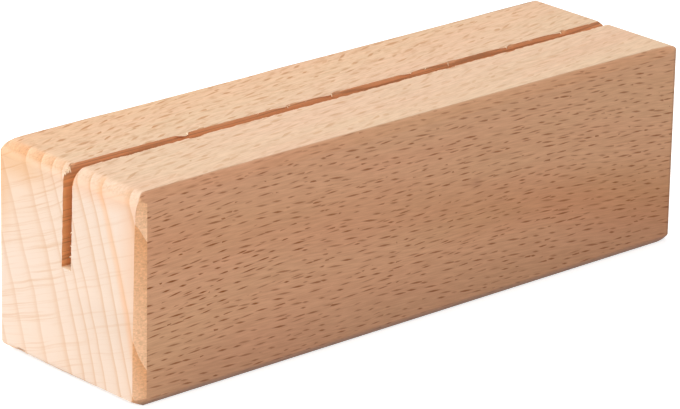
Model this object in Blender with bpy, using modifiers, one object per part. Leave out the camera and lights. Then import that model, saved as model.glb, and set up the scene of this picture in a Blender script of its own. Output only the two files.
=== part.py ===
"""Menu holder: one square block of beech with a leaning saw slot along its top for a card.

Metres, +Z up. The origin is the middle of the underside, and the block's length runs along X.
"""
import math

import bmesh
import bpy
from mathutils import Matrix, Vector

# Driving dimensions of the block, a length of 45 mm square stock, planed and sanded
BLOCK_LENGTH = 0.150
BLOCK_WIDTH = 0.0445
BLOCK_HEIGHT = 0.0445

# Every outer edge is broken by hand: more than a chamfer, less than a full round
EDGE_EASING = 0.0025
EASING_PROFILE = 0.38
EASING_SEGMENTS = 4

# The slot is one pass of a saw blade, with its floor square to its walls
SLOT_WIDTH = 0.0028
SLOT_DEPTH = 0.0212
SLOT_OFFSET = -0.0009
SLOT_LEAN = math.radians(1.7)

# How far the saw cut runs on past the faces that it leaves through
SAW_OVERRUN = 0.010

# Sanded beech as it looks on the long sides
BEECH_COLOUR = (0.62, 0.36, 0.21, 1.0)
BEECH_ROUGHNESS = 0.6


def clear_scene():
    """Remove what the scene starts with."""
    for item in list(bpy.data.objects):
        bpy.data.objects.remove(item, do_unlink=True)


def new_collection(name):
    """Return a new collection of that name, linked to the scene."""
    group = bpy.data.collections.new(name)
    bpy.context.scene.collection.children.link(group)
    return group


def box_object(name, low, high, group):
    """Return a box object from its low corner to its high corner, with its scale applied."""
    low, high = Vector(low), Vector(high)
    mesh = bpy.data.meshes.new(name)
    shape = bmesh.new()
    size = Matrix.Diagonal((high - low).to_4d())
    bmesh.ops.create_cube(shape, size=1.0, matrix=Matrix.Translation((low + high) / 2) @ size)
    shape.to_mesh(mesh)
    shape.free()
    box = bpy.data.objects.new(name, mesh)
    group.objects.link(box)
    return box


def beech_material():
    """Return the material of the bare, sanded wood."""
    material = bpy.data.materials.new("beech_sanded")
    material.use_nodes = True
    shader = material.node_tree.nodes["Principled BSDF"]
    shader.inputs["Base Color"].default_value = BEECH_COLOUR
    shader.inputs["Roughness"].default_value = BEECH_ROUGHNESS
    shader.inputs["Metallic"].default_value = 0.0
    return material


def make_saw_cut(group):
    """Return the cutter for the slot, hung from the slot's mouth and leaning with its top towards -Y."""
    low = (-BLOCK_LENGTH / 2 - SAW_OVERRUN, -SLOT_WIDTH / 2, -SLOT_DEPTH)
    high = (BLOCK_LENGTH / 2 + SAW_OVERRUN, SLOT_WIDTH / 2, SAW_OVERRUN)
    cut = box_object("saw_cut", low, high, group)
    cut.location = (0.0, SLOT_OFFSET, BLOCK_HEIGHT)
    cut.rotation_euler = (SLOT_LEAN, 0.0, 0.0)
    cut.display_type = 'WIRE'
    cut.hide_render = True
    return cut


def make_block(group, saw_cut):
    """Return the block: a square bar, all its edges eased, then sawn from end to end."""
    low = (-BLOCK_LENGTH / 2, -BLOCK_WIDTH / 2, 0.0)
    high = (BLOCK_LENGTH / 2, BLOCK_WIDTH / 2, BLOCK_HEIGHT)
    block = box_object("beech_block", low, high, group)
    block.data.materials.append(beech_material())

    easing = block.modifiers.new("edge_easing", 'BEVEL')
    easing.width = EDGE_EASING
    easing.segments = EASING_SEGMENTS
    easing.profile = EASING_PROFILE

    slot = block.modifiers.new("slot", 'BOOLEAN')
    slot.operation = 'DIFFERENCE'
    slot.solver = 'EXACT'
    slot.object = saw_cut
    return block


def main():
    clear_scene()
    parts = new_collection("menu_holder")
    cutters = new_collection("cutters")
    make_block(parts, make_saw_cut(cutters))


main()
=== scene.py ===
"""Beech menu holder: the finished block, the fibres torn at its slot, and a white studio stage.

The file is laid out as an add-on and run as a script. Lengths are metres, and a name that ends in
_MM holds millimetres.
"""

import math
import random
from collections import namedtuple
from types import SimpleNamespace

import bmesh
import bpy
from mathutils import Matrix, Vector, geometry


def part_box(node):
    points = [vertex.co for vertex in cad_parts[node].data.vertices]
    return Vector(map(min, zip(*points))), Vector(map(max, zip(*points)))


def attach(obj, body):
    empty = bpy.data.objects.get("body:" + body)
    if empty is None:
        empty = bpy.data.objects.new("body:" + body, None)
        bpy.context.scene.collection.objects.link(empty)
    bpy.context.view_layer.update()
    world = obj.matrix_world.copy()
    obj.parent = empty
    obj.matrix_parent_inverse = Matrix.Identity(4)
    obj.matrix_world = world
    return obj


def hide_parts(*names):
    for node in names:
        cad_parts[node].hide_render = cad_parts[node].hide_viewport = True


bl_info = {
    "name": "Beech menu holder",
    "version": (1, 0, 0),
    "blender": (4, 5, 0),
    "location": "3D View > Sidebar > Menu holder",
    "description": "Builds a slotted beech block that holds a menu card, and a white studio for it",
    "category": "Object",
}

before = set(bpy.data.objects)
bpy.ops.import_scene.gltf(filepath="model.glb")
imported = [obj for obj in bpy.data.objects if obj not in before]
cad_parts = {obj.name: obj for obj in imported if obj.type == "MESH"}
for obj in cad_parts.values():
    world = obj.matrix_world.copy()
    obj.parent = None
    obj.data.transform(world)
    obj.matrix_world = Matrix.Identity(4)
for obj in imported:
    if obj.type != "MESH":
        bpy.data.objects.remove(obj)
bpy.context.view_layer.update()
BLOCK_LOW, BLOCK_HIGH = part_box("beech_block")

MM = 0.001
BODY = "root"

# The block's outside, from the frame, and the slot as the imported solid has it
LENGTH = BLOCK_HIGH.x - BLOCK_LOW.x
WIDTH = BLOCK_HIGH.y - BLOCK_LOW.y
HEIGHT = BLOCK_HIGH.z - BLOCK_LOW.z
SLOT_WIDTH = 0.0028
SLOT_DEPTH = 0.0212
SLOT_OFFSET = -0.0009
SLOT_LEAN = math.radians(1.7)

# Eased edges: how far each reaches in from the corner, and its form, from 1, a flat chamfer, to 2, a round
FRONT_EDGE, BACK_EDGE, FOOT_EDGE, LONG_FORM = 0.0022, 0.00252, 0.00205, 1.18
UPRIGHT_EDGE, NEAR_FRONT_EDGE, UPRIGHT_FORM = 0.0020, 0.0022, 1.12
NEAR_TOP_EDGE, NEAR_TOP_FORM = 0.0030, 1.9
FAR_TOP_RUN, FAR_TOP_DROP, FAR_TOP_FORM = 0.00235, 0.0024, 1.2
# The foot of each end is only sanded off flat, further in than up
NEAR_FOOT_RISE, FAR_FOOT_RISE, FOOT_RUN, FOOT_FORM = 0.0014, 0.0005, 0.0030, 1.04
# Share of the long edges' easing that is gone where they run out: at the near top, and at the foot
TOP_SHARPENING, FOOT_SHARPENING = 0.95, 0.8
# The long top edges were eased by hand: place along the block and what more or less was taken off there
BACK_HAND_MM = ((-75.0, 0.0), (-73.6, 0.05), (-72.6, 0.3), (-71.2, 0.2), (-69.8, 0.05), (-52.0, 0.05),
                (-43.0, 0.28), (-11.0, 0.30), (-2.0, 0.0), (14.0, 0.1), (50.0, 0.1), (60.0, -0.1),
                (70.0, -0.1), (75.0, 0.2))
FRONT_HAND_MM = ((-75.0, -0.5), (-64.0, -0.25), (-52.0, -0.05), (42.0, -0.05), (54.0, -0.25), (68.0, -0.35),
                 (71.5, -0.85), (72.4, -1.2), (73.2, -1.95), (75.0, -2.0))
# The near upright edge of the front: height, and the share of its reach that was taken off the end
NEAR_FRONT_MM = ((0.0, 0.80), (9.0, 0.78), (16.0, 0.74), (26.0, 0.64), (36.0, 0.57), (40.0, 0.47),
                 (44.5, 0.29))
# The foot of the near end: place across the block, and what more was taken off towards the back corner
NEAR_FOOT_MM = ((-22.25, 0.0), (13.0, 0.0), (18.0, 0.15), (22.25, 0.3))
EASING_STEPS = 8
# Each eased edge has a line of points this far outside it, so that its shading stays within it
EDGE_GUARD = 0.00012

# Spacing of the mesh along the block, and the distances from an end at which the easing is sampled
STATION_STEP = 0.0005
END_SAMPLES_MM = (0.0, 0.01, 0.04, 0.1, 0.18, 0.3, 0.5, 0.75, 1.0, 1.3, 1.6, 1.8, 1.92, 2.0, 2.1, 2.2, 2.3,
                  2.6, 3.0)
# Lines of points between the edges of each strip of the section
TOP_LINES, WALL_LINES, SIDE_LINES, FOOT_LINES, SLOT_FLOOR_LINES = 5, 36, 9, 60, 3
# Edges that turn by more than this are shaded sharp
SHARP_ANGLE = math.radians(38.0)
# Distances from a slot lip, along the top face and down the wall, at which the section has points
LIP_SAMPLES_MM = (0.08, 0.17, 0.28, 0.42, 0.6, 0.85, 1.2, 1.7, 2.4)

# Chips out of the slot's lips: place along the block, lip (1 back, -1 front), half length, width, depth
LIP_CHIPS_MM = (
    (-73.5, -1, 4.5, 0.25, 0.4), (-72.9, 1, 0.6, 0.5, 0.9), (-60.4, -1, 0.9, 0.35, 0.5),
    (-57.6, -1, 0.8, 0.2, 0.3), (-43.6, -1, 1.9, 0.55, 0.8), (-33.0, 1, 0.9, 0.2, 0.3),
    (-15.9, 1, 1.0, 0.3, 0.4), (-3.3, 1, 1.3, 0.45, 0.5), (26.0, -1, 1.5, 0.4, 0.5),
    (29.3, 1, 1.2, 0.35, 0.5), (46.4, 1, 0.8, 0.4, 0.5), (43.5, -1, 1.3, 0.3, 0.5),
    (62.1, 1, 0.7, 0.7, 0.8), (66.5, -1, 1.1, 0.25, 0.4),
)
# Flaps of wood torn at the back lip: where each starts, reaches furthest and ends along the block, and its
# overhang. They reach so far back on the top and down the wall, and sag at the lip
LIP_FLAPS_MM = (
    (-46.9, -44.6, -43.0, 1.15), (-20.5, -17.4, -16.9, 0.2), (-9.5, -5.1, -4.5, 0.3),
    (13.8, 16.8, 18.2, 0.3), (41.0, 44.9, 45.6, 0.2), (57.5, 60.8, 61.4, 0.25),
)
FLAP_BACK_MM, FLAP_DOWN_MM, FLAP_SAG_MM = 0.5, 0.6, 0.2
# A chip out of the foot of the near end: place across the block, half length, depth and reach inwards
FOOT_CHIP_MM = (14.2, 1.7, 0.5, 1.2)
# Small breaks: their depth at the lips, their length, and how far in they reach from the slot's lips, its
# mouths and the feet of the ends
LIP_WEAR, WEAR_LENGTH = 0.00022, 0.0016
LIP_REACH, MOUTH_REACH, END_FOOT_REACH = 0.0006, 0.0005, 0.0020
# The feet of the ends wear this many times as much as the lips
END_FOOT_WEAR = 3.0
# How far they push a point each way, as a share of their depth. Points this near to an end stay in its plane
LIP_PUSH, MOUTH_PUSH, END_PLANE = 0.6, 0.8, 0.000005
WEAR_SEED = 3.0

# Fibres torn at the slot: root, direction, flat side, and size as thickness, width and length
TORN_FIBRES_MM = (
    ((-74.50, 0.60, 43.00), (-0.05, -0.25, -0.60), (-0.6, -0.7, 0.3), (0.20, 0.44, 0.52)),
    ((-74.15, 0.62, 43.42), (-0.05, -0.28, -0.75), (-0.6, -0.7, 0.3), (0.23, 0.58, 0.72)),
    ((-73.78, 0.60, 43.78), (-0.10, -0.32, -1.05), (-0.6, -0.7, 0.3), (0.24, 0.66, 0.95)),
    ((-73.50, 0.60, 43.98), (0.05, -0.50, -1.20), (-0.6, -0.7, 0.3), (0.18, 0.42, 1.15)),
    ((-43.60, 0.40, 44.42), (-0.55, -1.00, -0.25), (-0.2, -0.3, 1.0), (0.20, 0.50, 0.90)),
    ((-17.00, 0.45, 44.36), (0.20, -0.70, -0.80), (-0.2, -0.3, 1.0), (0.10, 0.30, 0.50)),
    ((-4.90, 0.42, 44.36), (-0.30, -0.70, -0.80), (-0.2, -0.3, 1.0), (0.12, 0.40, 0.62)),
    ((17.00, 0.42, 44.36), (0.40, -0.90, -0.40), (-0.2, -0.3, 1.0), (0.10, 0.40, 0.42)),
    ((27.90, 0.45, 44.36), (-0.05, -0.40, -1.00), (-0.6, -0.7, 0.3), (0.12, 0.22, 0.75)),
    ((44.80, 0.45, 44.38), (0.00, -0.80, -0.60), (-0.2, -0.3, 1.0), (0.10, 0.34, 0.48)),
    ((61.00, 0.45, 44.38), (-0.20, -0.80, -0.60), (-0.2, -0.3, 1.0), (0.10, 0.34, 0.50)),
    ((-74.94, -2.00, 31.40), (0.00, 1.00, -0.60), (-1.0, 0.0, 0.0), (0.12, 0.30, 0.60)),
    ((-74.94, -1.90, 28.40), (0.00, 1.00, 0.30), (-1.0, 0.0, 0.0), (0.12, 0.35, 0.50)),
    ((-74.94, -1.80, 26.30), (0.00, 1.00, -0.40), (-1.0, 0.0, 0.0), (0.12, 0.30, 0.60)),
)
# Loose fibres along the lips: how many, on what share of the length either way from the middle, and how far
# their roots lie below the top and behind the wall
LOOSE_FIBRES, LOOSE_SPAN, LOOSE_DROP, LOOSE_SINK = 18, 0.47, 0.0001, 0.00008
FIBRE_SEED, FIBRE_SIDES, FIBRE_CURL = 11, 6, 0.6

# Growth of the tree, in the block's own millimetres: where the pith lies beside the block, and the
# radius at which each year ends
PITH_Y_MM, PITH_Z_MM = 343.8, -99.05
YEAR_ENDS_MM = (320.0, 325.3, 331.4, 337.6, 343.7, 350.1, 357.3, 361.3, 364.5, 367.5, 372.1, 375.5,
                378.8, 386.4, 391.0, 395.5, 400.0)
# The grain isn't quite true to the block: it falls along the length, more so towards the far end
GRAIN_FALL, GRAIN_BEND_PER_MM, GRAIN_SKEW = 0.056, 0.000365, 0.034
# On the top the ray ends lie a little aslant, whatever the fall
RAY_SLANT = -0.055
# Radius of the wood at the front face
FRONT_RADIUS_MM = 391.0
# Two years stand out: one by a rich band on the long side, one by a broad line on the end
RICH_YEAR_MM, BROAD_YEAR_MM = 386.6, 378.2
# Shade through one year, from its start to its end: on the ends, and where it is cut flat
LATE_SHADES = ((0.0, 0.0), (0.05, 0.0), (0.45, 0.06), (0.75, 0.25), (0.92, 0.9), (0.97, 1.0), (1.0, 0.0))
BAND_SHADES = ((0.0, 0.5), (0.22, 0.1), (0.6, 0.2), (0.86, 0.85), (1.0, 0.5))
# One broad ray to each cell along the grain, outwards and around, and how far it may stray within it
RAY_CELL_MM, RAY_SCATTER = (4.6, 26.0, 1.3), 0.9
# Ranges of a ray's half length and half thickness in mm, darkness and tilt, and which of its draws sets each
RAY_RANGES = ((0, 0.95, 3.0), (1, 0.14, 0.22), (2, 0.42, 0.9), (1, -0.085, 0.055))
# A dark blot on the long side, and the painted shadow in the crack of a started splinter at the foot of the
# near end: centre, half size, the share of that within which it is full, and its strength
BLOT_MM = ((15.0, -22.25, 26.9), (2.2, 10.0, 1.3), 0.1, 1.0)
SPLINTER_SHADOW_MM = ((-75.0, 14.0, 2.0), (3.0, 1.8, 0.2), 0.3, 0.7)
BEECH_IOR = 1.48

# The camera stands where the photograph was taken from, for an image of 680 by 409
IMAGE_WIDTH_PX = 680.0
FOCAL_PX = 4539.09
CAMERA_AZIMUTH = math.radians(-42.6213)
CAMERA_ELEVATION = math.radians(19.9274)
CAMERA_ROLL = math.radians(1.1359)
CAMERA_DISTANCE = 0.9382
CAMERA_TARGET = (-0.001154, 0.001200, 0.019336)
CAMERA_CLIP = (0.01, 20.0)

# The studio: each lamp's name, place and size, and the setting that holds its power
LAMPS = (("key_lamp", (-1.26, 0.94, 0.92), 0.9, "key_power"),
         ("back_lamp", (0.0, 1.36, 1.20), 1.2, "back_power"),
         ("fill_lamp", (-0.94, -1.15, 1.03), 1.2, "fill_power"))
FLOOR_HALF_SIZE, FLOOR_SQUARES = 4.0, 8
# What the floor adds to itself for the camera, and the white of the room
FLOOR_GLOW, WHITE = (0.7, 0.7, 0.7), (1.0, 1.0, 1.0)

# Settings that many nodes share
COLOUR = {"data_type": 'RGBA'}
TINT = {"data_type": 'RGBA', "blend_type": 'MULTIPLY'}
SMOOTH = {"interpolation_type": 'SMOOTHSTEP'}


def linear(hex_colour):
    """Turn an sRGB hex colour into the linear values that shaders take."""
    channels = [int(hex_colour[start:start + 2], 16) / 255 for start in (1, 3, 5)]
    return tuple(c / 12.92 if c <= 0.04045 else ((c + 0.055) / 1.055) ** 2.4 for c in channels)


def a_length(name, description, default):
    """Return a property for a length in metres."""
    return bpy.props.FloatProperty(name=name, description=description, default=default, min=0.0,
                                   soft_max=0.2, precision=5, unit='LENGTH', subtype='DISTANCE')


def a_power(name, description, default):
    """Return a property for the power of a lamp."""
    return bpy.props.FloatProperty(name=name, description=description, default=default, min=0.0, unit='POWER')


def a_colour(name, description, hex_colour):
    """Return a property for a colour, given as an sRGB hex value."""
    return bpy.props.FloatVectorProperty(name=name, description=description, default=linear(hex_colour),
                                         size=3, min=0.0, max=1.0, subtype='COLOR')


class BlockSizes(bpy.types.PropertyGroup):
    """Sizes of the block that a user would change."""

    front_edge: a_length("Front edge", "Reach of the easing along the top of the front", FRONT_EDGE)
    back_edge: a_length("Back edge", "Reach of the easing along the top of the back", BACK_EDGE)
    foot_edge: a_length("Foot edges", "Reach of the easing along the foot of both long sides", FOOT_EDGE)
    upright_edge: a_length("Upright edges", "Reach of the easing on three of the upright edges", UPRIGHT_EDGE)
    near_front_edge: a_length("Near front edge", "Reach of the easing on the -X end's front upright edge",
                              NEAR_FRONT_EDGE)
    near_top_edge: a_length("Near top edge", "Reach of the rounding along the top of the -X end",
                            NEAR_TOP_EDGE)
    far_top_run: a_length("Far top run", "Length of the easing along the top of the +X end", FAR_TOP_RUN)
    far_top_drop: a_length("Far top drop", "Height of the easing along the top of the +X end", FAR_TOP_DROP)
    near_foot_rise: a_length("Near foot rise", "Height of the easing along the foot of the -X end",
                             NEAR_FOOT_RISE)
    far_foot_rise: a_length("Far foot rise", "Height of the easing along the foot of the +X end",
                            FAR_FOOT_RISE)
    foot_run: a_length("Foot run", "Length of the easing along the foot of both ends", FOOT_RUN)
    slot_width: a_length("Slot width", "Width of the saw slot", SLOT_WIDTH)
    slot_depth: a_length("Slot depth", "Depth of the saw slot, measured along its walls", SLOT_DEPTH)
    slot_lean: bpy.props.FloatProperty(
        name="Slot lean", description="How far the slot leans towards the front", default=SLOT_LEAN,
        min=-0.5, max=0.5, unit='ROTATION', subtype='ANGLE')
    lip_wear: a_length("Lip wear", "Depth of the small breaks along the slot's lips", LIP_WEAR)
    wear_length: a_length("Wear length", "Usual length of one break along a lip", WEAR_LENGTH)


class BeechColours(bpy.types.PropertyGroup):
    """Colours of the wood."""

    flat_grain: a_colour("Flat grain", "Long sides, where the rings lie flat to the face", "#D5A17D")
    quarter_grain: a_colour("Quarter grain", "Top and underside, where the rings stand on edge", "#DFBC9E")
    late_wood: a_colour("Late wood", "Darker wood that ends each year, on the long faces", "#C58A60")
    ray_fleck: a_colour("Ray fleck", "Dark ends of the rays on the long sides", "#8A4E20")
    quarter_fleck: a_colour("Quarter fleck", "Ends of the rays on the top and underside", "#BE8B5F")
    end_grain: a_colour("End grain", "Pale early wood on the ends", "#EED7C4")
    end_late: a_colour("End late wood", "Line that ends each year on the ends", "#E0B793")
    slant: a_colour("Slant cut", "Early wood on the eased edges of the ends, cut slantwise", "#F3C39B")
    slant_late: a_colour("Slant late wood", "Late wood on the eased edges of the ends", "#E2A371")
    sawn: a_colour("Sawn wall", "Walls of the slot, straight from the saw", "#E29C62")
    sawn_lip: a_colour("Sawn lip", "Walls just below the slot's lips, where dust has paled them", "#E4A678")
    # Painted light: the slot's floor is made paler where it faces up, as light falls into the mouth
    lit_slot_floor: a_colour("Slot floor", "Floor of the slot, where pale dust lies", "#F9E0BC")
    torn: a_colour("Torn fibre", "Fresh fibres torn at the slot", "#FBDFBC")


class StageSettings(bpy.types.PropertyGroup):
    """Floor and light of the studio."""

    floor: a_colour("Floor", "Colour of the pale floor", "#D6D6D6")
    key_power: a_power("Key lamp", "Power of the large lamp behind the block, on the left", 14.6)
    back_power: a_power("Back lamp", "Power of the lamp behind and above the block", 20.0)
    fill_power: a_power("Fill lamp", "Power of the soft lamp in front, on the left", 16.0)
    ambient: bpy.props.FloatProperty(name="Room light", default=0.3, min=0.0,
                                     description="Strength of the even light from all round")


class MenuHolderSettings(bpy.types.PropertyGroup):
    """Everything that the panel shows."""

    block: bpy.props.PointerProperty(type=BlockSizes, name="Block", description="Sizes of the block")
    beech: bpy.props.PointerProperty(type=BeechColours, name="Beech", description="Colours of the wood")
    stage: bpy.props.PointerProperty(type=StageSettings, name="Stage", description="Floor and light")


def give(tree, socket, value):
    """Give an input its value: a number, a colour, another node or one of its outputs."""
    if isinstance(value, bpy.types.Node):
        value = next(output for output in value.outputs if output.enabled)
    if isinstance(value, bpy.types.NodeSocket):
        tree.links.new(value, socket)
    else:
        socket.default_value = value


def add(tree, kind, *values, **settings):
    """Add a node with its settings to a tree, and give its inputs their values.

    The values come in the order in which the node shows its inputs, and None leaves a default. A kind
    that doesn't say what it is a node for is a shader node.
    """
    made = tree.nodes.new(kind if "Node" in kind else "ShaderNode" + kind)
    for key, value in settings.items():
        setattr(made, key, value)
    shown = [socket for socket in made.inputs if socket.enabled]
    for socket, value in zip(shown, values):
        if value is not None:
            give(tree, socket, value)
    return made


def within(tree, *parts):
    """Return how far a point lies within every one of some parts, as the product of their weights.

    A part is a weight, or a row: a value, the numbers between which it fades, and its weight at both.
    """
    inside = None
    for part in parts:
        if isinstance(part, tuple):
            part = add(tree, "MapRange", *part)
        inside = part if inside is None else add(tree, "Math", inside, part, operation='MULTIPLY')
    return inside


def opaque(colour):
    """Return a colour as the four values that a colour socket takes."""
    return (*colour, 1.0)


def set_stops(ramp, stops):
    """Give a colour ramp its stops, each a place from 0 to 1 and a colour."""
    elements = ramp.color_ramp.elements
    for element, (place, colour) in zip(elements, (stops[0], stops[-1])):
        element.position, element.color = place, opaque(colour)
    for place, colour in stops[1:-1]:
        elements.new(place).color = opaque(colour)


# Wood

def beech_years(tree, radius):
    """Add the years to a shader tree: the season, 0 to 1 in each year, its dark end and its soft band."""
    first, last, count = YEAR_ENDS_MM[0], YEAR_ENDS_MM[-1], len(YEAR_ENDS_MM) - 1
    share = add(tree, "MapRange", radius, first, last)
    growth = add(tree, "FloatCurve", None, share)
    curve = growth.mapping.curves[0]
    for number, year_end in enumerate(YEAR_ENDS_MM):
        spot = ((year_end - first) / (last - first), number / count)
        if number in (0, count):
            curve.points[0 if number == 0 else -1].location = spot
        else:
            curve.points.new(*spot)
    for point in curve.points:
        point.handle_type = 'VECTOR'
    growth.mapping.update()
    age = add(tree, "Math", growth, float(count), operation='MULTIPLY')
    season = add(tree, "Math", age, operation='FRACT')
    shades = []
    for stops in (LATE_SHADES, BAND_SHADES):
        shades.append(add(tree, "ValToRGB", season))
        set_stops(shades[-1], [(spot, (shade, shade, shade)) for spot, shade in stops])
    return season, *shades


def beech_flecks(tree, along, radius, around, up, quarter_cut):
    """Add the broad rays to a shader tree: sheets 0.3 mm thick that stand 1 to 3 mm high along the grain."""
    # On the top and the underside they are longer and a little thinner
    stretch = add(tree, "Math", quarter_cut, -0.18, 1.0, operation='MULTIPLY_ADD')
    stretched = add(tree, "Math", along, stretch, operation='MULTIPLY')
    rays = add(tree, "CombineXYZ", stretched, radius, around)
    rays = add(tree, "VectorMath", rays, RAY_CELL_MM, operation='DIVIDE')
    spots = add(tree, "TexVoronoi", rays, 1.0, None, None, None, RAY_SCATTER)
    offset = add(tree, "VectorMath", rays, spots.outputs["Position"], operation='SUBTRACT')
    offset = add(tree, "VectorMath", offset, RAY_CELL_MM, operation='MULTIPLY')
    offset = add(tree, "SeparateXYZ", offset)
    lot = add(tree, "SeparateColor", spots.outputs["Color"])
    reach, thick, dark, tilt = [add(tree, "MapRange", lot.outputs[draw], 0.0, 1.0, least, most)
                                for draw, least, most in RAY_RANGES]
    thinner = add(tree, "Math", quarter_cut, -0.06, 1.0, operation='MULTIPLY_ADD')
    thick = add(tree, "Math", thick, thinner, operation='MULTIPLY')
    long_part = add(tree, "Math", offset.outputs[0], reach, operation='DIVIDE')
    long_part = add(tree, "Math", long_part, operation='ABSOLUTE')
    tilted = add(tree, "Math", offset.outputs[0], tilt, offset.outputs[2], operation='MULTIPLY_ADD')
    thin_part = add(tree, "Math", tilted, thick, operation='DIVIDE')
    thin_part = add(tree, "Math", thin_part, thin_part, operation='MULTIPLY')
    spindle = add(tree, "Math", long_part, thin_part, operation='ADD')
    spindle = add(tree, "MapRange", spindle, 1.0, 0.3, **SMOOTH)
    # They are boldest half way up the near half of the long side
    from_middle = add(tree, "Math", up, -22.5, operation='ADD')
    from_middle = add(tree, "Math", from_middle, operation='ABSOLUTE')
    bold = within(tree, (from_middle, 10.0, 5.0), (along, -15.0, -55.0))
    bold = add(tree, "Math", bold, 0.34, 0.92, operation='MULTIPLY_ADD')
    return within(tree, spindle, dark, bold)


def beech_figure(tree):
    """Add the figure of the wood to a shader tree and return its parts by name.

    It is one solid pattern, read in the block's own millimetres: years grow about a pith far behind the
    block, and rays are thin sheets that run out from it. Each face shows what its cut lays open.
    """
    place = add(tree, "TexCoord")
    mm = add(tree, "VectorMath", place.outputs["Object"], 1.0 / MM, operation='SCALE')
    along, across, up = add(tree, "SeparateXYZ", mm).outputs
    facing = add(tree, "VectorMath", place.outputs["Normal"], operation='ABSOLUTE')
    endward, sideways, upward = add(tree, "SeparateXYZ", facing).outputs

    # Follow the grain: fall and bend along the length, a little skew, and a slow wander of about a
    # millimetre that changes over 45 mm along the block and 17 mm across it
    fall = add(tree, "Math", along, GRAIN_BEND_PER_MM, GRAIN_FALL, operation='MULTIPLY_ADD')
    grain_up = add(tree, "Math", along, fall, up, operation='MULTIPLY_ADD')
    grain_across = add(tree, "Math", along, -GRAIN_SKEW, across, operation='MULTIPLY_ADD')
    stretched = add(tree, "VectorMath", mm, (0.022, 0.06, 0.06), operation='MULTIPLY')
    wander = add(tree, "TexNoise", stretched, 1.0, 2.0)
    swing = add(tree, "VectorMath", wander.outputs["Color"], (0.0, 2.2, 2.2), (0.0, -1.1, -1.1),
                operation='MULTIPLY_ADD')
    from_pith = add(tree, "CombineXYZ", None, grain_across, grain_up)
    for step in ((0.0, -PITH_Y_MM, -PITH_Z_MM), swing):
        from_pith = add(tree, "VectorMath", from_pith, step, operation='ADD')
    radius = add(tree, "VectorMath", from_pith, operation='LENGTH')
    turn = add(tree, "SeparateXYZ", from_pith)
    away = add(tree, "Math", turn.outputs[1], -1.0, operation='MULTIPLY')
    angle = add(tree, "Math", turn.outputs[2], away, operation='ARCTAN2')
    around = add(tree, "Math", angle, PITH_Y_MM, operation='MULTIPLY')
    # On the top and the underside the rays are cut almost along their length, and their ends lie aslant
    quarter_cut = add(tree, "Math", sideways, 0.5, operation='LESS_THAN')
    fallen = add(tree, "Math", grain_up, up, operation='SUBTRACT')
    level = add(tree, "Math", fallen, -PITH_Y_MM / FRONT_RADIUS_MM, operation='MULTIPLY')
    aslant = add(tree, "Math", along, RAY_SLANT, level, operation='MULTIPLY_ADD')
    around = add(tree, "Math", aslant, quarter_cut, around, operation='MULTIPLY_ADD')
    grain = add(tree, "CombineXYZ", along, radius, around)

    # Cut flat, the years are only soft bands. One of them is rich, and one has a broad line on the ends
    season, late, band = beech_years(tree, radius)
    by_year = []
    for year, reach, most in ((RICH_YEAR_MM, 3.2, 1.0), (BROAD_YEAR_MM, 1.5, 0.55)):
        away = add(tree, "Math", radius, year, operation='SUBTRACT')
        away = add(tree, "Math", away, operation='ABSOLUTE')
        by_year.append(add(tree, "MapRange", away, 0.0, reach, most, 0.0, **SMOOTH))
    rich, broad = by_year
    rich = within(tree, rich, (along, -15.0, 50.0, 0.28, 0.8))
    band = add(tree, "Math", band, 0.15, rich, operation='MULTIPLY_ADD')
    fleck = beech_flecks(tree, along, radius, around, up, quarter_cut)

    # Streaks, each with its size in mm: fine rays between the flecks, the threads that rays make on the
    # ends, fibres, drawn coarser than real pores to show, and broad patches of yellower and pinker tone
    climb = add(tree, "Math", radius, -0.055, around, operation='MULTIPLY_ADD')
    climbing = add(tree, "CombineXYZ", along, radius, climb)
    streaks = []
    for path, size, detail in ((grain, (3.0, 9.0, 0.38), 2.0), (climbing, (6.0, 22.0, 0.42), 2.0),
                               (grain, (5.0, 0.5, 0.3), 3.0), (grain, (45.0, 9.0, 11.0), 2.0)):
        path = add(tree, "VectorMath", path, size, operation='DIVIDE')
        streaks.append(add(tree, "TexNoise", path, 1.0, detail))
    silk, thread, fibre, tone = streaks

    # The wood is warmer towards the top of the back. It is redder and darker at the foot of the far half,
    # which is painted shade
    heart = within(tree, (across, -2.0, 20.0), (up, 22.0, 44.0))
    foot = within(tree, (along, -20.0, 75.0), (up, 28.0, 0.0))

    # Which cut a face lays open, from the direction that it faces
    end = add(tree, "MapRange", endward, 0.78, 0.98, **SMOOTH)
    flat = add(tree, "MapRange", sideways, 0.3, 0.65, **SMOOTH)
    lengthwise = add(tree, "Math", sideways, upward, operation='MINIMUM')
    endwise = add(tree, "Math", lengthwise, -0.4, endward, operation='MULTIPLY_ADD')
    upright = add(tree, "Math", sideways, 0.6, 1.0, operation='MULTIPLY_ADD')
    endwise = add(tree, "Math", endwise, upright, operation='MULTIPLY')
    slant = add(tree, "MapRange", endwise, 0.06, 0.5, **SMOOTH)
    # Where an upright edge and a top edge of the near end run together, their corner is cut slantwise too
    corner = add(tree, "Math", up, 0.433, along, operation='MULTIPLY_ADD')
    corner = within(tree, (corner, -54.8, -55.3), (up, 40.6, 41.6), flat)
    slant = add(tree, "Math", slant, corner, operation='MAXIMUM')
    return SimpleNamespace(mm=mm, along=along, across=across, up=up, sideways=sideways, upward=upward,
                           season=season, late=late, band=band, broad=broad, fleck=fleck, silk=silk,
                           thread=thread, fibre=fibre, tone=tone, heart=heart, foot=foot, end=end,
                           slant=slant, flat=flat)


def start_material(name):
    """Return a new material, its tree and its shader."""
    material = bpy.data.materials.new(name)
    material.use_nodes = True
    return material, material.node_tree, material.node_tree.nodes["Principled BSDF"]


def set_shader(tree, shader, values):
    """Give a shader's inputs their values by name."""
    for name, value in values.items():
        give(tree, shader.inputs[name], value)


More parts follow.
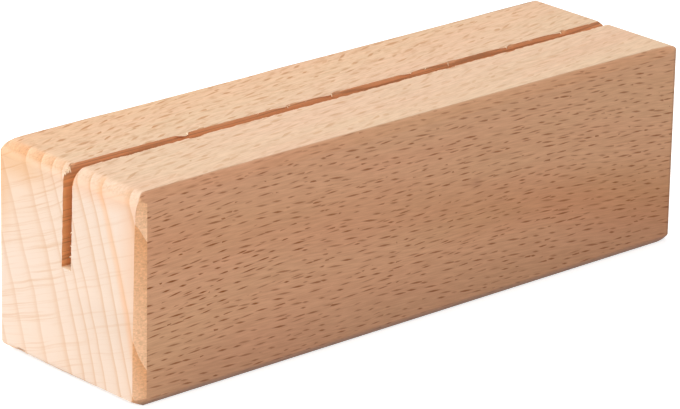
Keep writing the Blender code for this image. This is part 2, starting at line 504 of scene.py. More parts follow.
def long_faces(tree, figure, colours, blot):
    """Add the colour of the long faces: the cut's own, warm late wood, slow changes of tone, and flecks."""
    flat = figure.flat
    wood = add(tree, "Mix", flat, opaque(colours.quarter_grain), opaque(colours.flat_grain), **COLOUR)
    warm = within(tree, figure.band, (flat, 0.0, 1.0, 0.15, 0.75))
    wood = add(tree, "Mix", warm, wood, opaque(colours.late_wood), **COLOUR)
    shift = add(tree, "ValToRGB", figure.tone)
    set_stops(shift, ((0.32, (1.015, 0.982, 0.976)), (0.68, (0.985, 1.015, 0.986))))
    wood = add(tree, "Mix", 1.0, wood, shift, **TINT)
    # On the top the flecks have soft streaks of fine rays between them, and all of it fades to the front
    soft = within(tree, (figure.silk, 0.5, 0.75, 0.0, 0.45), (flat, 0.0, 1.0, 1.0, 0.0))
    fleck = add(tree, "Math", figure.fleck, soft, operation='MAXIMUM')
    clear = within(tree, (figure.across, -20.0, 14.0, 0.42, 1.0), (figure.along, -75.0, 75.0, 1.5, 0.86))
    clear = add(tree, "Math", clear, flat, operation='MAXIMUM')
    # Sanding the long top edges has cleared most of the flecks from them
    eased = within(tree, (figure.upward, 0.3, 0.75), flat)
    kept = add(tree, "Math", eased, -0.4, 1.0, operation='MULTIPLY_ADD')
    fleck = within(tree, fleck, clear, kept)
    mark = add(tree, "Mix", flat, opaque(colours.quarter_fleck), opaque(colours.ray_fleck), **COLOUR)
    wood = add(tree, "Mix", fleck, wood, mark, **COLOUR)
    for weight, tint in ((eased, (1.04, 1.01, 0.99)), (blot, (0.82, 0.78, 0.78))):
        wood = add(tree, "Mix", weight, wood, opaque(tint), **TINT)
    return wood


def end_faces(tree, figure, colours):
    """Add the colour of the ends: pale wood, a warm line to end each year, and rays as faint threads."""
    line = within(tree, figure.late, (figure.across, -5.0, 8.0, 0.75, 0.5))
    thread = add(tree, "MapRange", figure.thread, 0.54, 0.72, 0.0, 0.6)
    thread = add(tree, "Math", figure.fleck, 0.12, thread, operation='MULTIPLY_ADD')
    thread = within(tree, thread, (figure.across, -8.0, 5.0, 0.5, 1.0))
    ends = opaque(colours.end_grain)
    for weight, colour in ((line, colours.end_late), (figure.broad, colours.slant),
                           (thread, colours.end_late)):
        ends = add(tree, "Mix", weight, ends, opaque(colour), **COLOUR)
    return ends


def eased_faces(tree, figure, colours, front, ends):
    """Add the colour of the ends' eased edges: years from pale to orange, without the flecks."""
    slant = add(tree, "Mix", figure.season, opaque(colours.slant), opaque(colours.slant_late), **COLOUR)
    # The sandpaper has left specks 0.4 mm across, drawn coarser than the grit to show
    specks = add(tree, "TexNoise", figure.mm, 1.0 / 0.4, 2.0)
    specks = add(tree, "MapRange", specks, 0.35, 0.65, 0.92, 1.08)
    slant = add(tree, "VectorMath", slant, specks, operation='SCALE')
    # The front of the top one is nearer to the ends
    rounding = within(tree, (figure.upward, 0.15, 0.4), (figure.sideways, 0.45, 0.15))
    slant = add(tree, "Mix", rounding, slant, opaque((0.88, 0.955, 1.03)), **TINT)
    warmer = add(tree, "Mix", 1.0, ends, opaque((0.86, 0.78, 0.70)), **TINT)
    return add(tree, "Mix", within(tree, front, rounding), slant, warmer, **COLOUR)


def sanded_beech(colours):
    """Beech, planed and sanded: matt and pale, dark ray flecks on the long sides, rings on the ends."""
    material, tree, shader = start_material("beech_planed_and_sanded")
    figure = beech_figure(tree)
    along, across, up, flat, end = figure.along, figure.across, figure.up, figure.flat, figure.end
    marks = []
    for centre, size, full, most in (BLOT_MM, SPLINTER_SHADOW_MM):
        spot = add(tree, "VectorMath", figure.mm, centre, operation='SUBTRACT')
        spot = add(tree, "VectorMath", spot, size, operation='DIVIDE')
        spot = add(tree, "VectorMath", spot, operation='LENGTH')
        marks.append(add(tree, "MapRange", spot, 1.0, full, 0.0, most))
    blot, splinter_shadow = marks
    front = add(tree, "MapRange", across, 9.0, -3.0, 0.0, 0.8, **SMOOTH)
    wood = long_faces(tree, figure, colours, blot)
    ends = end_faces(tree, figure, colours)
    eased = eased_faces(tree, figure, colours, front, ends)
    wood = add(tree, "Mix", figure.slant, wood, eased, **COLOUR)

    # The ends warm towards the front of their top and, less, towards the front upright edge. Painted light
    # makes them paler at the foot of the front, against the shade there
    under_top = within(tree, (up, 38.6, 41.8), front)
    by_edge = within(tree, (across, -15.5, -20.8), (up, 8.0, 30.0, 0.2, 0.9))
    rim = add(tree, "Math", under_top, by_edge, operation='MAXIMUM')
    # Painted light: the foot of the front of the ends is made paler
    front_foot_light = within(tree, (across, -8.0, -20.0), (up, 18.0, 5.0))
    for weight, tint in ((rim, (1.0, 0.83, 0.71)), (front_foot_light, (1.07, 1.08, 1.09))):
        ends = add(tree, "Mix", weight, ends, opaque(tint), **TINT)
    # Painted shadow: the crack under the started splinter at the foot of the near end is drawn in dark brown
    ends = add(tree, "Mix", splinter_shadow, ends, opaque(colours.ray_fleck), **COLOUR)
    wood = add(tree, "Mix", end, wood, ends, **COLOUR)

    # The back corner of the ends is orange from the top down, for a centimetre, or two at the edge
    corner = within(tree, (across, 1.0, 13.0), (up, 35.8, 40.2, 0.0, 0.86))
    edge = within(tree, (across, 16.5, 20.3), (up, 20.0, 34.0))
    corner = add(tree, "Math", corner, edge, operation='MAXIMUM')
    # Painted shade: the long sides darken towards the foot, most of all on the eased edge that they stand on
    low = within(tree, (up, 14.0, 1.0), flat, (along, -78.0, -58.0))
    foot_shade = within(tree, (up, 2.0, 0.1), (figure.slant, 0.0, 1.0, 1.0, 0.0), (along, -74.2, -73.0),
                    (figure.upward, 0.98, 0.92))
    glow = within(tree, figure.heart, (along, -75.0, 75.0, 1.15, 0.55))
    # Painted shade: the easing at the back of the top and the eased edges of the far end, seen edge-on at the
    # outline, are darkened and greyed
    back_edge = within(tree, (across, 19.15, 19.7), (up, 43.0, 44.0))
    far_edge = within(tree, (along, 72.4, 73.0), (end, 0.0, 1.0, 1.0, 0.0))
    outline_shade = add(tree, "Math", back_edge, far_edge, operation='MAXIMUM')
    # Of these tints, the darkening at the foot of the far half, low down on the long sides, on their eased
    # foot edges and on the edges seen edge-on at the outline is painted shade
    for weight, tint in ((within(tree, corner, end), (0.96, 0.80, 0.62)), (figure.foot, (0.95, 0.87, 0.82)),
                         (low, (0.87, 0.86, 0.88)), (foot_shade, (0.50, 0.55, 0.62)),
                         (glow, (1.0, 0.92, 0.82)), (outline_shade, (0.70, 0.70, 0.72))):
        wood = add(tree, "Mix", weight, wood, opaque(tint), **TINT)

    # Fibres lighten and pale the long faces a little, or darken and warm them
    streak = add(tree, "Mix", end, figure.fibre, 0.5, data_type='FLOAT')
    shade = add(tree, "ValToRGB", streak)
    set_stops(shade, ((0.3, (0.91, 0.895, 0.87)), (0.7, (1.09, 1.105, 1.13))))
    wood = add(tree, "Mix", 1.0, wood, shade, **TINT)
    sheen = add(tree, "MapRange", figure.fibre, 0.0, 1.0, 0.5, 0.66)
    relief = add(tree, "Math", figure.fleck, -0.6, figure.fibre, operation='MULTIPLY_ADD')
    bump = add(tree, "Bump", 0.25, 0.03 * MM, None, relief)
    set_shader(tree, shader, {"Base Color": wood, "Roughness": sheen, "IOR": BEECH_IOR,
                              "Specular IOR Level": 0.25, "Normal": bump})
    return material


def sawn_beech(colours):
    """Beech, straight from the saw: rougher and browner, with dark lines where a tooth dragged."""
    material, tree, shader = start_material("beech_sawn")
    figure = beech_figure(tree)
    # Tooth marks run along the slot: fine ones 0.6 mm apart, and dark lines at every 2 to 4 mm
    marks = []
    for scale, detail in (((0.03, 0.3, 1.6), 3.0), ((0.015, 0.2, 0.42), 2.0)):
        turned = add(tree, "VectorMath", figure.mm, scale, operation='MULTIPLY')
        marks.append(add(tree, "TexNoise", turned, 1.0, detail))
    teeth, drag = marks
    drag = add(tree, "Math", drag, 0.5, operation='SUBTRACT')
    drag = add(tree, "Math", drag, operation='ABSOLUTE')
    drag = add(tree, "MapRange", drag, 0.0, 0.04, 0.68, 1.0, **SMOOTH)
    shade = within(tree, (teeth, 0.3, 0.7, 0.9, 1.06), drag)
    dusty = add(tree, "MapRange", figure.up, 41.5, 44.2)
    wood = add(tree, "Mix", dusty, opaque(colours.sawn), opaque(colours.sawn_lip), **COLOUR)
    wood = add(tree, "VectorMath", wood, shade, operation='SCALE')
    # Painted light: where the slot's floor faces up it is made paler, as light falls into the mouth
    level = add(tree, "MapRange", figure.upward, 0.85, 0.95)
    wood = add(tree, "Mix", level, wood, opaque(colours.lit_slot_floor), **COLOUR)
    bump = add(tree, "Bump", 0.6, 0.12 * MM, None, teeth)
    set_shader(tree, shader, {"Base Color": wood, "Roughness": 0.75, "IOR": BEECH_IOR, "Normal": bump})
    return material


def torn_beech(colours):
    """Beech fibres, torn: fresh and pale like straw, a little uneven, and quite matt."""
    material, tree, shader = start_material("beech_torn_fibre")
    pale = add(tree, "MapRange", beech_figure(tree).fibre, 0.3, 0.7, 0.88, 1.05)
    wood = add(tree, "VectorMath", tuple(colours.torn), pale, operation='SCALE')
    set_shader(tree, shader, {"Base Color": wood, "Roughness": 0.7, "IOR": BEECH_IOR})
    return material


# Block

# A point of the block's section: its place, how far it moves where the long edges sharpen, how it
# follows the easing of the ends, and where it lies by a slot lip, with past_lip counted down the wall
# from the lip and back along the top face
SectionPoint = namedtuple("SectionPoint", "y z grow_y grow_z side top foot lip past_lip sawn",
                          defaults=(0.0, 0.0, 0.0, 0.0, 0.0, 0, 0.0, False))


def edge_drop(distance, reach, form):
    """How far an eased edge has fallen away at a distance in from the face that it runs into."""
    if distance >= reach:
        return 0.0
    return reach * (1.0 - (1.0 - (1.0 - distance / reach) ** form) ** (1.0 / form))


def eased_corner(reach, form):
    """Points round an eased corner, as distances in from the first face and from the second."""
    turns = [math.pi / 2 * step / EASING_STEPS for step in range(EASING_STEPS + 1)]
    return [(reach * (1.0 - max(math.cos(t), 0.0) ** (2.0 / form)),
             reach * (1.0 - max(math.sin(t), 0.0) ** (2.0 / form))) for t in turns]


def spread(start, end, count):
    """Numbers between two ends, without the ends."""
    return [start + (end - start) * step / (count + 1) for step in range(1, count + 1)]


def slot_wall(sizes, lip, drop):
    """Y of a slot wall (lip 1 back, -1 front) at a drop below the top face."""
    lean = sizes.slot_lean
    return SLOT_OFFSET + lip * sizes.slot_width / 2 / math.cos(lean) + drop * math.tan(lean)


def slot_floor_drop(sizes, lip):
    """How far below the top face a wall meets the floor, which is square to the walls."""
    lean = sizes.slot_lean
    return sizes.slot_depth * math.cos(lean) - lip * sizes.slot_width / 2 * math.sin(lean)


def top_reach(sizes, side):
    """Reach of the easing along the top of a long side (side 1 back, -1 front)."""
    return sizes.back_edge if side > 0 else sizes.front_edge


def top_strip(sizes, lip):
    """Points of the top face from a slot lip outwards to the long edge."""
    lip_y = slot_wall(sizes, lip, 0.0)
    edge_y = lip * (WIDTH / 2 - top_reach(sizes, lip))
    steps = [0.0] + [step * MM for step in LIP_SAMPLES_MM]
    points = [SectionPoint(lip_y + lip * step, HEIGHT, top=1.0, lip=lip, past_lip=-step) for step in steps]
    start_y = points[-1].y
    for y in spread(start_y, edge_y, TOP_LINES) + [edge_y - lip * EDGE_GUARD]:
        share = (y - start_y) / (edge_y - start_y)
        points.append(SectionPoint(y, HEIGHT, lip * top_reach(sizes, lip) * share, side=share, top=1.0))
    return points


def wall_strip(sizes, lip):
    """Points of a slot wall from just below its lip down to the floor."""
    floor_drop = slot_floor_drop(sizes, lip)
    drops = [step * MM for step in LIP_SAMPLES_MM]
    drops += spread(drops[-1], floor_drop, WALL_LINES) + [floor_drop]
    points = []
    for drop in drops:
        near_lip = lip if drop <= LIP_SAMPLES_MM[-1] * MM else 0
        points.append(SectionPoint(slot_wall(sizes, lip, drop), HEIGHT - drop, top=1.0 - drop / floor_drop,
                                   lip=near_lip, past_lip=drop, sawn=True))
    return points


def side_strip(sizes, side):
    """Points of a long side (side 1 back, -1 front) from its top edge to its foot edge, easing included."""
    half, reach = WIDTH / 2, top_reach(sizes, side)
    points = [SectionPoint(side * (half - b), HEIGHT - a, side * b, a, side=1.0, top=1.0)
              for a, b in eased_corner(reach, LONG_FORM)]
    high, low = HEIGHT - reach, sizes.foot_edge
    for z in [high - EDGE_GUARD] + spread(high, low, SIDE_LINES) + [low + EDGE_GUARD]:
        share = (z - low) / (high - low)
        grow_z = reach * share - low * (1.0 - share)
        points.append(SectionPoint(side * half, z, grow_z=grow_z, side=1.0, top=share, foot=1.0 - share))
    points += [SectionPoint(side * (half - a), b, side * a, -b, side=1.0, foot=1.0)
               for a, b in eased_corner(low, LONG_FORM)]
    return points


def block_section(sizes):
    """The section's points in order: up the slot's back wall, round the outside, down the front wall."""
    points = list(reversed(wall_strip(sizes, 1))) + top_strip(sizes, 1) + side_strip(sizes, 1)
    edge_y = WIDTH / 2 - sizes.foot_edge
    for y in [edge_y - EDGE_GUARD] + spread(edge_y, -edge_y, FOOT_LINES) + [EDGE_GUARD - edge_y]:
        points.append(SectionPoint(y, 0.0, sizes.foot_edge * y / edge_y, side=abs(y) / edge_y, foot=1.0))
    points += list(reversed(side_strip(sizes, -1))) + list(reversed(top_strip(sizes, -1)))
    points += wall_strip(sizes, -1)
    front, back = points[-1], points[0]
    for share in spread(0.0, 1.0, SLOT_FLOOR_LINES):
        points.append(SectionPoint(front.y + (back.y - front.y) * share,
                                   front.z + (back.z - front.z) * share, sawn=True))
    return points


def block_stations():
    """Places along the block: close together through the easing of each end, then even steps."""
    end = [sample * MM for sample in END_SAMPLES_MM]
    inner = LENGTH / 2 - end[-1]
    count = round(2 * inner / STATION_STEP)
    middle = [-inner + 2 * inner * step / count for step in range(1, count)]
    return [-LENGTH / 2 + s for s in end] + middle + [LENGTH / 2 - s for s in reversed(end)]


def smooth(share):
    """Ease a share from 0 to 1, and hold it there."""
    share = min(max(share, 0.0), 1.0)
    return share * share * (3.0 - 2.0 * share)


def between(rows, place):
    """Read a table of places and values, eased from each row to the next."""
    for (start, before), (end, after) in zip(rows, rows[1:]):
        if place <= end:
            return before + (after - before) * smooth((place - start) / (end - start))
    return rows[-1][1]


def hand_easing(x, side):
    """What was taken off a long top edge by hand, more or less than its reach, at a place along it."""
    return between(BACK_HAND_MM if side > 0 else FRONT_HAND_MM, x / MM) * MM


def flapped(place, point, x):
    """Push a point by the back lip out into the slot where a flap of wood hangs over it."""
    past = point.past_lip / MM
    weight = max(0.0, 1.0 + past / FLAP_BACK_MM if past < 0.0 else 1.0 - past / FLAP_DOWN_MM)
    for start, peak, end, overhang in LIP_FLAPS_MM if point.lip > 0 else ():
        spot = x / MM
        share = (spot - start) / (peak - start) if spot < peak else (end - spot) / (end - peak)
        if share > 0.0:
            place.y -= overhang * MM * share * weight
            place.z -= FLAP_SAG_MM * MM * share * weight
    return place


def chipped(place, point, x, lip_height, sizes):
    """Move a point by a lip onto the slope of any chip at its place along the block."""
    for centre, lip, half_length, width, depth in LIP_CHIPS_MM:
        reach = 1.0 - ((x / MM - centre) / half_length) ** 2
        if lip != point.lip or reach <= 0.0:
            continue
        width, depth = width * MM * math.sqrt(reach), depth * MM * math.sqrt(reach)
        if not -width < point.past_lip < depth:
            continue
        share = (point.past_lip + width) / (width + depth)
        lip_y = slot_wall(sizes, lip, HEIGHT - lip_height)
        outer = Vector((x, lip_y + lip * width, lip_height))
        inner = Vector((x, slot_wall(sizes, lip, HEIGHT - lip_height + depth), lip_height - depth))
        place = outer.lerp(inner, share)
    return place


def block_point(point, x, sizes):
    """Place of a section point at a station, eased towards the ends and chipped at the lips."""
    inset = LENGTH / 2 - abs(x)
    upright = sizes.near_front_edge if x < 0.0 and point.y < 0.0 else sizes.upright_edge
    side = edge_drop(inset, upright, UPRIGHT_FORM)
    if x < 0.0:
        top = edge_drop(inset, sizes.near_top_edge, NEAR_TOP_FORM)
        foot_rise = sizes.near_foot_rise
    else:
        top = edge_drop(inset, sizes.far_top_run, FAR_TOP_FORM) * sizes.far_top_drop / sizes.far_top_run
        foot_rise = sizes.far_foot_rise
    foot = edge_drop(inset, sizes.foot_run, FOOT_FORM) / sizes.foot_run
    foot *= foot_rise + (between(NEAR_FOOT_MM, point.y / MM) * MM if x < 0.0 else 0.0)
    runs_out = side / upright
    if x < 0.0 and point.y < 0.0:
        side *= between(NEAR_FRONT_MM, point.z / MM)
    if point.z > HEIGHT / 2:
        long_side = math.copysign(1.0, point.y)
        by_hand = hand_easing(x, long_side) / top_reach(sizes, long_side)
        sharp = min(TOP_SHARPENING, (TOP_SHARPENING * runs_out if x < 0.0 else 0.0) - by_hand)
    else:
        sharp = FOOT_SHARPENING * runs_out
    z = point.z + sharp * point.grow_z - point.top * top + point.foot * foot
    y = point.y + sharp * point.grow_y - math.copysign(point.side * side, point.y)
    if point.lip or point.sawn:
        y += (point.z - z) * math.tan(sizes.slot_lean)
    if point.foot == 1.0 and x < 0.0:
        centre, half_length, depth, run = FOOT_CHIP_MM
        reach = 1.0 - ((y / MM - centre) / half_length) ** 2
        z += depth * MM * max(0.0, reach) * max(0.0, 1.0 - inset / (run * MM))
    place = Vector((x, y, z))
    return flapped(chipped(place, point, x, HEIGHT - top, sizes), point, x) if point.lip else place


def block_wear(point, x):
    """How much a point of the block wears, 1 at a lip, and the way into the wood from there."""
    inset = LENGTH / 2 - abs(x)
    into_end = -math.copysign(1.0, x)
    if point.lip:
        weight = max(0.0, 1.0 - abs(point.past_lip) / LIP_REACH)
        return weight, Vector((0.0, LIP_PUSH * point.lip, -LIP_PUSH))
    if point.sawn and inset < MOUTH_REACH:
        lip = 1.0 if point.y > SLOT_OFFSET else -1.0
        inwards = into_end if inset > END_PLANE else 0.0
        return 1.0 - inset / MOUTH_REACH, Vector((inwards, MOUTH_PUSH * lip, 0.0))
    if point.foot == 1.0 and point.side < 1.0 and inset < END_FOOT_REACH:
        return END_FOOT_WEAR * (1.0 - inset / END_FOOT_REACH), Vector((LIP_PUSH * into_end, 0.0, LIP_PUSH))
    return 0.0, Vector((0.0, 0.0, 0.0))


def block_mesh(sizes):
    """Sweep the section along the block, close the ends, and mark where it wears and where it is sawn."""
    section, stations = block_section(sizes), block_stations()
    shape = bmesh.new()
    wear_layer = shape.verts.layers.float.new("wear")
    push_layer = shape.verts.layers.float_vector.new("push")
    sawn_layer = shape.faces.layers.int.new("sawn")
    rings = []
    for x in stations:
        ring = []
        for point in section:
            vertex = shape.verts.new(block_point(point, x, sizes))
            vertex[wear_layer], vertex[push_layer] = block_wear(point, x)
            ring.append(vertex)
        rings.append(ring)
    count = len(section)
    for ring, following in zip(rings, rings[1:]):
        for index in range(count):
            after = (index + 1) % count
            face = shape.faces.new((ring[index], ring[after], following[after], following[index]))
            face[sawn_layer] = int(section[index].sawn or section[after].sawn)
    for ring in (rings[0], rings[-1]):
        outline = [Vector((vertex.co.y, vertex.co.z, 0.0)) / MM for vertex in ring]
        for triangle in geometry.tessellate_polygon([outline]):
            shape.faces.new([ring[corner] for corner in triangle])
    bmesh.ops.recalc_face_normals(shape, faces=shape.faces)
    for face in shape.faces:
        face.smooth = True
    mesh = bpy.data.meshes.new("block")
    shape.to_mesh(mesh)
    shape.free()
    return mesh


def new_tree(name, sockets):
    """Return a Geometry Nodes tree with those inputs, and the outputs of its input node."""
    tree = bpy.data.node_groups.new(name, 'GeometryNodeTree')
    tree.interface.new_socket("Geometry", in_out='OUTPUT', socket_type='NodeSocketGeometry')
    for title, kind in (("Geometry", 'NodeSocketGeometry'), *sockets):
        tree.interface.new_socket(title, in_out='INPUT', socket_type=kind)
    return tree, tree.nodes.new("NodeGroupInput").outputs


def slot_wear_tree():
    """Tree that breaks the marked edges into the wood and gives the walls their own material."""
    tree, given = new_tree("slot_wear", (("Depth", 'NodeSocketFloat'), ("Length", 'NodeSocketFloat'),
                                         ("Seed", 'NodeSocketFloat'), ("Sanded", 'NodeSocketMaterial'),
                                         ("Sawn", 'NodeSocketMaterial')))
    wear, push, is_sawn = [add(tree, "GeometryNodeInputNamedAttribute", name, data_type=kind)
                           for name, kind in (("wear", 'FLOAT'), ("push", 'FLOAT_VECTOR'), ("sawn", 'INT'))]
    place = add(tree, "GeometryNodeInputPosition")
    per_length = add(tree, "Math", 1.0, given["Length"], operation='DIVIDE')
    breaks = add(tree, "TexNoise", place, given["Seed"], per_length, 2.0, noise_dimensions='4D')
    lost = within(tree, (breaks, 0.42, 0.75, 0.0, given["Depth"]), wear)
    step = add(tree, "VectorMath", push, lost, operation='SCALE')
    worn = add(tree, "GeometryNodeSetPosition", given["Geometry"], None, None, step)
    solid = add(tree, "GeometryNodeRealizeInstances", worn)
    sanded = add(tree, "GeometryNodeSetMaterial", solid, None, given["Sanded"])
    sawn = add(tree, "GeometryNodeSetMaterial", sanded, is_sawn, given["Sawn"])
    add(tree, "NodeGroupOutput", sawn)
    return tree


def torn_fibre_tree():
    """Tree that sets one tapered, curling sliver on each root, turned and sized by the root's attributes."""
    tree, given = new_tree("torn_fibres", (("Sides", 'NodeSocketInt'), ("Curl", 'NodeSocketFloat'),
                                           ("Seed", 'NodeSocketInt'), ("Torn", 'NodeSocketMaterial')))
    # A cone of height 1, five segments high, with a blunt tip
    sliver = add(tree, "GeometryNodeMeshCone", given["Sides"], 5, 1, 0.12, 0.5, 1.0)
    height = add(tree, "SeparateXYZ", add(tree, "GeometryNodeInputPosition")).outputs[2]
    bend = given["Curl"]
    for _ in range(2):
        bend = add(tree, "Math", bend, height, operation='MULTIPLY')
    shift = add(tree, "CombineXYZ", bend)
    sliver = add(tree, "GeometryNodeSetPosition", sliver, None, None, shift)
    aim, flat, size = [add(tree, "GeometryNodeInputNamedAttribute", name, data_type='FLOAT_VECTOR')
                       for name in ("aim", "flat_side", "size")]
    turn = add(tree, "FunctionNodeAxesToRotation", aim, flat, primary_axis='Z', secondary_axis='X')
    vary = add(tree, "FunctionNodeRandomValue", 0.85, 1.1, None, given["Seed"], data_type='FLOAT')
    size = add(tree, "VectorMath", size, vary, operation='SCALE')
    placed = add(tree, "GeometryNodeInstanceOnPoints", given["Geometry"], None, sliver, None, None,
                 turn, size)
    solid = add(tree, "GeometryNodeRealizeInstances", placed)
    torn = add(tree, "GeometryNodeSetMaterial", solid, None, given["Torn"])
    add(tree, "NodeGroupOutput", torn)
    return tree


def grow(name, mesh, tree, values, spare):
    """Run a tree on a mesh and return an object that holds the result as a plain mesh."""
    piece = bpy.data.objects.new(name, mesh)
    bpy.context.scene.collection.objects.link(piece)
    modifier = piece.modifiers.new(tree.name, 'NODES')
    modifier.node_group = tree
    inputs = {item.name: item.identifier for item in tree.interface.items_tree if item.in_out == 'INPUT'}
    for title, value in values.items():
        modifier[inputs[title]] = value
    depsgraph = bpy.context.evaluated_depsgraph_get()
    plain = bpy.data.meshes.new_from_object(piece.evaluated_get(depsgraph), depsgraph=depsgraph)
    piece.modifiers.remove(modifier)
    piece.data = plain
    bpy.data.meshes.remove(mesh)
    plain.name = name
    for title in spare:
        if title in plain.attributes:
            plain.attributes.remove(plain.attributes[title])
    if not plain.polygons:
        raise RuntimeError(f"{tree.name} made no faces")
    return piece


class MENUHOLDER_OT_block(bpy.types.Operator):
    """Build the slotted beech block with its eased edges and worn lips"""

    bl_idname = "menu_holder.block"
    bl_label = "Beech block"

    def execute(self, context):
        settings = context.scene.menu_holder
        values = {"Depth": settings.block.lip_wear, "Length": settings.block.wear_length, "Seed": WEAR_SEED,
                  "Sanded": sanded_beech(settings.beech), "Sawn": sawn_beech(settings.beech)}
        block = grow("block", block_mesh(settings.block), slot_wear_tree(), values, ("wear", "push", "sawn"))
        block.data.set_sharp_from_angle(angle=SHARP_ANGLE)
        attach(block, BODY)
        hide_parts("beech_block")
        return {'FINISHED'}


def fibre_roots(sizes):
    """Return a mesh of the points where fibres hold, with the direction, flat side and size of each."""
    draw = random.Random(FIBRE_SEED)
    rows = [(Vector(root) * MM, Vector(aim), Vector(flat), Vector(size) * MM)
            for root, aim, flat, size in TORN_FIBRES_MM]
    for _ in range(LOOSE_FIBRES):
        lip = draw.choice((-1, 1))
        x = draw.uniform(-LOOSE_SPAN, LOOSE_SPAN) * LENGTH
        root = Vector((x, slot_wall(sizes, lip, LOOSE_DROP) + lip * LOOSE_SINK, HEIGHT - LOOSE_DROP))
        aim = Vector((draw.choice((-1, 1)) * draw.uniform(0.6, 1.0), -lip * draw.uniform(0.1, 0.5),
                      draw.uniform(-0.2, 0.0)))
        size = Vector((draw.uniform(0.06, 0.1), draw.uniform(0.1, 0.2), draw.uniform(0.4, 1.2))) * MM
        rows.append((root, aim, Vector((0.0, 0.0, 1.0)), size))
    mesh = bpy.data.meshes.new("fibre_roots")
    mesh.from_pydata([row[0] for row in rows], [], [])
    for column, title in ((1, "aim"), (2, "flat_side"), (3, "size")):
        layer = mesh.attributes.new(title, 'FLOAT_VECTOR', 'POINT')
        for item, row in zip(layer.data, rows):
            item.vector = row[column]
    return mesh


class MENUHOLDER_OT_torn_fibres(bpy.types.Operator):
    """Set the torn fibres along the lips and mouths of the slot"""

    bl_idname = "menu_holder.torn_fibres"
    bl_label = "Torn fibres"

    def execute(self, context):
        settings = context.scene.menu_holder
        values = {"Sides": FIBRE_SIDES, "Curl": FIBRE_CURL, "Seed": FIBRE_SEED,
                  "Torn": torn_beech(settings.beech)}
        fibres = grow("torn_fibres", fibre_roots(settings.block), torn_fibre_tree(), values,
                      ("aim", "flat_side", "size"))
        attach(fibres, BODY)
        return {'FINISHED'}


# Stage

def shown_rays(tree):
    """Return a node that gives 1 for what the camera sees, straight or in a reflection or through glass."""
    path = add(tree, "LightPath").outputs
    shown = path["Is Camera Ray"]
    for kind in ("Is Glossy Ray", "Is Transmission Ray"):
        shown = add(tree, "Math", shown, path[kind], operation='MAXIMUM')
    return shown


def floor_material(colour):
    """White studio floor: matt, and shown to the camera as white, with the block's soft shadow left on it."""
    material, tree, shader = start_material("white_studio_floor")
    set_shader(tree, shader, {"Base Color": opaque(colour), "Roughness": 0.9})
    white = add(tree, "Emission", opaque(FLOOR_GLOW), shown_rays(tree))
    both = add(tree, "AddShader", shader, white)
    give(tree, tree.nodes["Material Output"].inputs["Surface"], both)
    return material


def white_room(strength):
    """Light the room evenly, and show it as white to the camera."""
    world = bpy.data.worlds.new("white_room")
    bpy.context.scene.world = world
    world.use_nodes = True
    tree = world.node_tree
    light = tree.nodes["Background"]
    set_shader(tree, light, {"Color": opaque(WHITE), "Strength": strength})
    white = add(tree, "Background", opaque(WHITE), 1.0)
    both = add(tree, "MixShader", shown_rays(tree), light, white)
    give(tree, tree.nodes["World Output"].inputs["Surface"], both)


def soft_lamp(name, place, target, size, power):
    """Add a square lamp at a place, turned to a target."""
    lamp = bpy.data.lights.new(name, 'AREA')
    lamp.shape = 'SQUARE'
    lamp.size = size
    lamp.energy = power
    holder = bpy.data.objects.new(name, lamp)
    aim = (Vector(target) - Vector(place)).to_track_quat('-Z', 'Y')
    holder.matrix_world = Matrix.Translation(place) @ aim.to_matrix().to_4x4()
    bpy.context.scene.collection.objects.link(holder)


def photo_camera():
    """Add the camera at the photograph's place, turned by its slight roll."""
    turn, rise = CAMERA_AZIMUTH, CAMERA_ELEVATION
    back = Vector((math.sin(turn) * math.cos(rise), -math.cos(turn) * math.cos(rise), math.sin(rise)))
    right = Vector((0.0, 0.0, 1.0)).cross(back).normalized()
    above = back.cross(right)
    tilted_right = right * math.cos(CAMERA_ROLL) + above * math.sin(CAMERA_ROLL)
    tilted_above = above * math.cos(CAMERA_ROLL) - right * math.sin(CAMERA_ROLL)
    data = bpy.data.cameras.new("photo_camera")
    data.sensor_fit = 'HORIZONTAL'
    data.lens = FOCAL_PX / IMAGE_WIDTH_PX * data.sensor_width
    data.clip_start, data.clip_end = CAMERA_CLIP
    camera = bpy.data.objects.new("photo_camera", data)
    facing = Matrix((tilted_right, tilted_above, back)).transposed().to_4x4()
    camera.matrix_world = Matrix.Translation(Vector(CAMERA_TARGET) + back * CAMERA_DISTANCE) @ facing
    bpy.context.scene.collection.objects.link(camera)
    bpy.context.scene.camera = camera


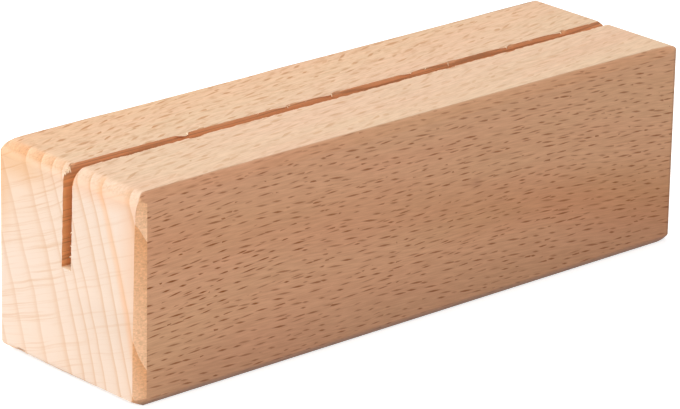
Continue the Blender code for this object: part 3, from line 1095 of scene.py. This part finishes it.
class MENUHOLDER_OT_stage(bpy.types.Operator):
    """Set the white floor, the lamps and the camera round the block"""

    bl_idname = "menu_holder.stage"
    bl_label = "Studio stage"

    def execute(self, context):
        settings = context.scene.menu_holder.stage
        shape = bmesh.new()
        bmesh.ops.create_grid(shape, x_segments=FLOOR_SQUARES, y_segments=FLOOR_SQUARES, size=FLOOR_HALF_SIZE)
        mesh = bpy.data.meshes.new("studio_floor")
        shape.to_mesh(mesh)
        shape.free()
        mesh.materials.append(floor_material(settings.floor))
        floor = bpy.data.objects.new("studio_floor", mesh)
        context.scene.collection.objects.link(floor)
        white_room(settings.ambient)
        for name, place, size, power_setting in LAMPS:
            soft_lamp(name, place, (0.0, 0.0, HEIGHT / 2), size, getattr(settings, power_setting))
        photo_camera()
        context.scene.view_settings.view_transform = 'Standard'
        return {'FINISHED'}


class MENUHOLDER_PT_panel(bpy.types.Panel):
    """Sidebar panel that lists the pieces and their settings"""

    bl_idname = "MENUHOLDER_PT_panel"
    bl_label = "Menu holder"
    bl_space_type = 'VIEW_3D'
    bl_region_type = 'UI'
    bl_category = "Menu holder"

    def draw(self, context):
        settings = context.scene.menu_holder
        for group, operators in ((settings.block, (MENUHOLDER_OT_block, MENUHOLDER_OT_torn_fibres)),
                                 (settings.beech, ()), (settings.stage, (MENUHOLDER_OT_stage,))):
            box = self.layout.box()
            for name in group.__annotations__:
                box.prop(group, name)
            for operator in operators:
                box.operator(operator.bl_idname)


CLASSES = (BlockSizes, BeechColours, StageSettings, MenuHolderSettings, MENUHOLDER_OT_block,
           MENUHOLDER_OT_torn_fibres, MENUHOLDER_OT_stage, MENUHOLDER_PT_panel)


def register():
    for item in CLASSES:
        bpy.utils.register_class(item)
    bpy.types.Scene.menu_holder = bpy.props.PointerProperty(type=MenuHolderSettings)


def unregister():
    del bpy.types.Scene.menu_holder
    for item in reversed(CLASSES):
        bpy.utils.unregister_class(item)


def main():
    register()
    bpy.ops.menu_holder.block()
    bpy.ops.menu_holder.torn_fibres()
    bpy.ops.menu_holder.stage()


if __name__ == "__main__":
    main()
